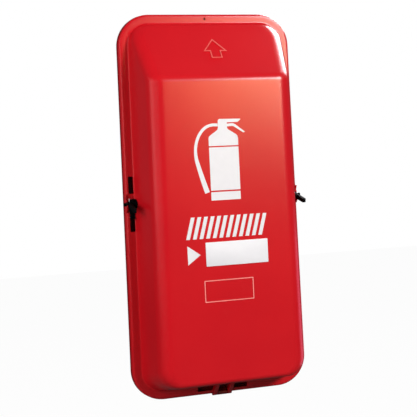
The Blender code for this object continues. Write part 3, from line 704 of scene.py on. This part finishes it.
# Bottom hinge
hingeY = partY - hinge["ahead"]
lugLow, lugFront = (-half + float(bottomInset(shell["lipDepth"] + hinge[k])) - 2 * shell["seatGap"]
                    for k in ("lugHeel", "lugToe"))
chin, nape, root = hinge["lugChin"], hinge["lugNape"], hinge["lugRoot"]
outline = np.vstack(([(flangeY - hinge["lugHeel"], lugLow), (flangeY - hinge["lugToe"], lugFront),
                      (flangeY - chin[0], hingeZ + chin[1])],
                     arc((hingeY, hingeZ), hinge["knuckleRadius"], 210, 380, 20),
                     [(hingeY + nape[0], hingeZ + nape[1]), (flangeY + root[0], recessZ + root[1])]))
lugBore = arc((hingeY, hingeZ), hinge["pinRadius"] + shell["seatGap"], 0, 337.5, 15)
for word, side in (("left", -1), ("right", 1)):
    middle = side * hinge["spacing"] / 2
    lug = pushed("lug_" + word, [outline, lugBore], "X", middle - hinge["lugWidth"] / 2,
                 middle + hinge["lugWidth"] / 2, coverRed)
    softenEdges(lug, hinge["lugSoft"])
    settle(lug, "cover", "red_cover", "hinge_lug_" + word)
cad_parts["hinge_block"].data.materials[0] = backRed
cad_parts["hinge_pin"].data.materials[0] = steel
print("hinge made")


# Print on the flat front: thin ink a hair proud of the plastic
inkNear, inkFar = panelY - ink["behind"] - ink["thick"], panelY - ink["behind"]


def printed(name, outlines, finish):
    settle(pushed(name, outlines, "Y", inkNear, inkFar, finish), "cover", "white_plate")


def smoothPath(points, steps):
    # A smooth curve through the points (Catmull-Rom), as an array
    p = np.vstack((2 * points[0] - points[1], points, 2 * points[-1] - points[-2]))
    t = np.linspace(0, 1, steps, endpoint=False)[:, None]
    parts = []
    for a, b, c, d in zip(p[:-3], p[1:-2], p[2:-1], p[3:]):
        square, cube = 2 * a - 5 * b + 4 * c - d, 3 * b - a - 3 * c + d
        parts.append(0.5 * (2 * b + (c - a) * t + square * t ** 2 + cube * t ** 3))
    return np.vstack(parts + [points[-1:]])


def ribbon(points, widths):
    # The outline of a band whose middle runs along the points and whose width changes on the way
    ahead = np.gradient(points, axis=0)
    ahead /= np.linalg.norm(ahead, axis=1)[:, None]
    away = np.column_stack((-ahead[:, 1], ahead[:, 0])) * widths[:, None] / 2
    return np.vstack((points + away, (points - away)[::-1]))


# The symbol in millimetres on the panel (across, up); the hose as points and (share of length, width)
symbol = {
    "left": -28.4, "right": 22.8, "foot": 12.0, "shoulder": 116.0, "neckLeft": -11.2, "neckRight": 4.5,
    "neckFoot": 130.5, "top": 146.6, "lineHigh": (99.9, 102.2), "lineLow": (25.7, 28.3),
    "lever": [(4.5, 133.8), (14.0, 134.4), (16.2, 133.6), (32.6, 122.9), (35.8, 123.9), (18.6, 137.2),
              (15.6, 138.7), (12.4, 138.9), (4.5, 138.2)],
    "grip": [(4.5, 140.7), (23.2, 140.7), (28.4, 144.6), (28.0, 146.1)],
    "hose": [(-11.6, 136.9), (-21.2, 137.0), (-30.3, 134.6), (-38.5, 128.6), (-45.6, 118.7), (-50.2, 106.6),
             (-51.8, 94.5), (-51.0, 82.0), (-48.0, 69.6), (-42.6, 50.3), (-34.7, 25.2)],
    "hoseWidths": [(0, 4.8), (0.6, 5.0), (1, 8.6)],
}


def extinguisherSymbol():
    # The traditional sign for an extinguisher: a foot, a body and a head with its hose
    s = symbol
    left, right, shoulder, neckFoot = s["left"], s["right"], s["shoulder"], s["neckFoot"]
    neckLeft, neckRight, top = s["neckLeft"], s["neckRight"], s["top"]

    def stripe(low, high):
        return [(left, low), (right, low), (right, high), (left, high)]

    head = [(left, s["lineHigh"][1]), (right, s["lineHigh"][1]), (right, shoulder - 1.5),
            (right - 0.8, shoulder + 1.6), (right - 3.0, shoulder + 4.4), (neckRight + 1.2, neckFoot - 1.2),
            (neckRight, neckFoot + 1.0)] + s["lever"] + s["grip"]
    head += [(neckLeft + 3.2, top), (neckLeft + 1.0, top - 1.0), (neckLeft, top - 3.2),
             (neckLeft, neckFoot + 1.4), (neckLeft - 1.6, neckFoot - 2.2), (left + 3.2, shoulder + 4.0),
             (left + 0.7, shoulder + 1.6), (left, shoulder - 1.5)]
    hose = smoothPath(np.array(s["hose"]), 8)
    widths = np.interp(np.linspace(0, 1, len(hose)), *zip(*s["hoseWidths"]))
    return (stripe(s["foot"], s["lineLow"][0]), stripe(s["lineLow"][1], s["lineHigh"][0]), head,
            ribbon(hose, widths))


for word, outline in zip(("base", "body", "head", "hose"), extinguisherSymbol()):
    printed("symbol_" + word, [np.array(outline) / 1000], inkWhite)


def roundedBox(low, high, radius, steps=6):
    # Outline of a rectangle with rounded corners
    (x0, z0), (x1, z1) = low, high
    corners = (((x1 - radius, z1 - radius), 0), ((x0 + radius, z1 - radius), 90), ((x0 + radius, z0 + radius), 180),
               ((x1 - radius, z0 + radius), 270))
    return np.vstack([arc(centre, radius, first, first + 90, steps) for centre, first in corners])


# The number plate, left blank
plateShape = {"corner": 0.0012, "soft": 0.00015}
plateLow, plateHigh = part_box("number_plate")
plate = pushed("plate", [roundedBox((plateLow.x, plateLow.z), (plateHigh.x, plateHigh.z), plateShape["corner"])],
               "Y", plateLow.y, plateHigh.y, plateWhite)
softenEdges(plate, plateShape["soft"], 2)
settle(plate, "cover", "white_plate", "number_plate")

# A thin printed frame for the date of the last check, left empty; its two outlines are a line apart
dateFrame = {"low": (-0.0477, -0.1574), "high": (0.0383, -0.1207), "line": 0.0015, "corner": 0.0012,
             "cornerLoss": 0.0005}
outlines = [roundedBox(np.array(dateFrame["low"]) + inward * dateFrame["line"],
                       np.array(dateFrame["high"]) - inward * dateFrame["line"],
                       dateFrame["corner"] - dateFrame["cornerLoss"] * inward) for inward in (0, 1)]
printed("date_frame", outlines, inkThin)

# A plain hatched band above the plate and a plain pointer beside it, instead of any wording
band = {"left": -0.0754, "right": 0.0669, "low": -0.0505, "high": -0.0141, "bars": 12, "share": 0.56,
        "lean": 0.010}
pitch = (band["right"] - band["left"] - band["lean"]) / (band["bars"] - 1 + band["share"])
for i in range(band["bars"]):
    start = band["left"] + pitch * i
    end = start + pitch * band["share"]
    bar = [(start, band["low"]), (end, band["low"]), (end + band["lean"], band["high"]),
           (start + band["lean"], band["high"])]
    printed("band_bar_%02d" % (i + 1), [bar], inkWhite)
pointer = {"back": -0.0740, "tip": -0.0520, "low": -0.0930, "middle": -0.0770, "high": -0.0610}
printed("plate_pointer", [[(pointer["back"], pointer["low"]), (pointer["tip"], pointer["middle"]),
                           (pointer["back"], pointer["high"])]], inkWhite)

# The raised arrow with its edges rounded, in a red paler than the cover's that is a painted highlight for the
# glints along its edges
arrow = {"soft": 0.00035}
ridge = addObject("arrow_ridge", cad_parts["up_arrow"].data.copy(), coverRed)
ridge.data.materials.clear()
ridge.data.materials.append(redPlastic("arrow_red_painted_highlight", plastic["arrow"], plastic["arrowGlintDeep"],
                                       plastic["arrowRoughness"]))
softenEdges(ridge, arrow["soft"])
settle(ridge, "cover", "red_cover", "up_arrow")
print("print made")


# Floor and light
studio = {
    "floorZ": -0.90, "floorSize": 14.0, "world": 0.07, "worldTint": (0.93, 0.95, 1.0, 1.0),
    "white": (1.0, 1.0, 1.0, 1.0), "floorTone": 0.07, "floorToneSeen": 0.85, "floorGlow": 0.97,
    # name: place, aim, width, height, power, colour, what it gives (diffuse light, gloss or both)
    "lamps": {
        "key_right": ((1.75, -2.95, 1.60), (0.0, -0.15, 0.0), 0.9, 0.9, 124.0, (1.0, 0.985, 0.99), "both"),
        "left_soft": ((-1.95, -1.10, 0.45), (-0.12, -0.12, -0.05), 2.4, 1.8, 41.0, (1.0, 1.0, 1.0), "diffuse"),
        "back_fill": ((0.60, 2.40, 1.90), (0.0, -0.05, 0.0), 1.0, 1.0, 22.0, (1.0, 1.0, 1.0), "diffuse"),
        "front_gloss": ((0.76, -1.80, 0.44), (0.05, -0.15, 0.15), 0.70, 0.30, 7.5, (1.0, 0.62, 0.24), "gloss"),
        "front_white": ((0.96, -1.80, 0.44), (0.10, -0.15, 0.20), 0.30, 0.30, 2.4, (1.0, 0.95, 0.95), "gloss"),
        "front_low": ((0.76, -1.80, 0.16), (0.05, -0.15, 0.0), 0.60, 0.30, 0.6, (1.0, 0.60, 0.35), "gloss"),
        "left_gloss": ((-1.60, -0.55, 0.45), (-0.12, -0.12, 0.1), 0.75, 1.10, 4.5, (1.0, 0.42, 0.40), "gloss"),
        "right_gloss": ((0.98, 0.50, 1.12), (0.12, -0.14, 0.24), 0.90, 0.75, 50.0, (1.0, 0.96, 1.0), "gloss"),
        "right_low": ((1.35, 0.12, -0.70), (0.14, -0.14, -0.15), 0.9, 1.2, 6.0, (1.0, 0.30, 0.48), "gloss"),
    },
}


def addLamp(name, place, aim, width, height, power, tint, gives):
    data = bpy.data.lights.new(name, "AREA")
    data.shape = "RECTANGLE"
    data.size = width
    data.size_y = height
    data.energy = power
    data.color = tint
    lamp = bpy.data.objects.new(name, data)
    lamp.location = place
    lamp.rotation_euler = (Vector(aim) - Vector(place)).to_track_quat("-Z", "Y").to_euler()
    lamp.visible_diffuse = gives != "gloss"
    lamp.visible_glossy = gives != "diffuse"
    bpy.context.scene.collection.objects.link(lamp)


for name, row in studio["lamps"].items():
    addLamp(name, *row)

world = bpy.data.worlds.new("studio")
bpy.context.scene.world = world
world.use_nodes = True
links = world.node_tree.links
dim = world.node_tree.nodes["Background"]
dim.inputs["Color"].default_value = studio["worldTint"]
dim.inputs["Strength"].default_value = studio["world"]
bright = world.node_tree.nodes.new("ShaderNodeBackground")
bright.inputs["Color"].default_value = studio["white"]
path = world.node_tree.nodes.new("ShaderNodeLightPath")
blend = world.node_tree.nodes.new("ShaderNodeMixShader")
links.new(path.outputs["Is Camera Ray"], blend.inputs[0])
links.new(dim.outputs[0], blend.inputs[1])
links.new(bright.outputs[0], blend.inputs[2])
links.new(blend.outputs[0], world.node_tree.nodes["World Output"].inputs["Surface"])


def pageWhite():
    # A pale floor, seen as white by the camera, that keeps the object's shadow
    paint = Paint("floor_pale")
    seen = paint.node("ShaderNodeLightPath", output="Is Camera Ray")
    tone = studio["floorTone"]
    paint.set(Base_Color=seen * (studio["floorToneSeen"] - tone) + tone, Roughness=0.9)
    glow = paint.tree.nodes.new("ShaderNodeEmission")
    glow.inputs["Color"].default_value = studio["white"]
    both = paint.tree.nodes.new("ShaderNodeMixShader")
    paint.connect(both.inputs[0], seen * studio["floorGlow"])
    paint.tree.links.new(paint.shader.outputs[0], both.inputs[1])
    paint.tree.links.new(glow.outputs[0], both.inputs[2])
    paint.tree.links.new(both.outputs[0], paint.tree.nodes["Material Output"].inputs["Surface"])
    return paint.material


edge, level = studio["floorSize"] / 2, studio["floorZ"]
floor = addMesh("floor", [(-edge, -edge, level), (edge, -edge, level), (edge, edge, level),
                          (-edge, edge, level)], [(0, 1, 2, 3)], pageWhite())
bpy.context.scene.view_settings.view_transform = "Standard"
print("studio lit")
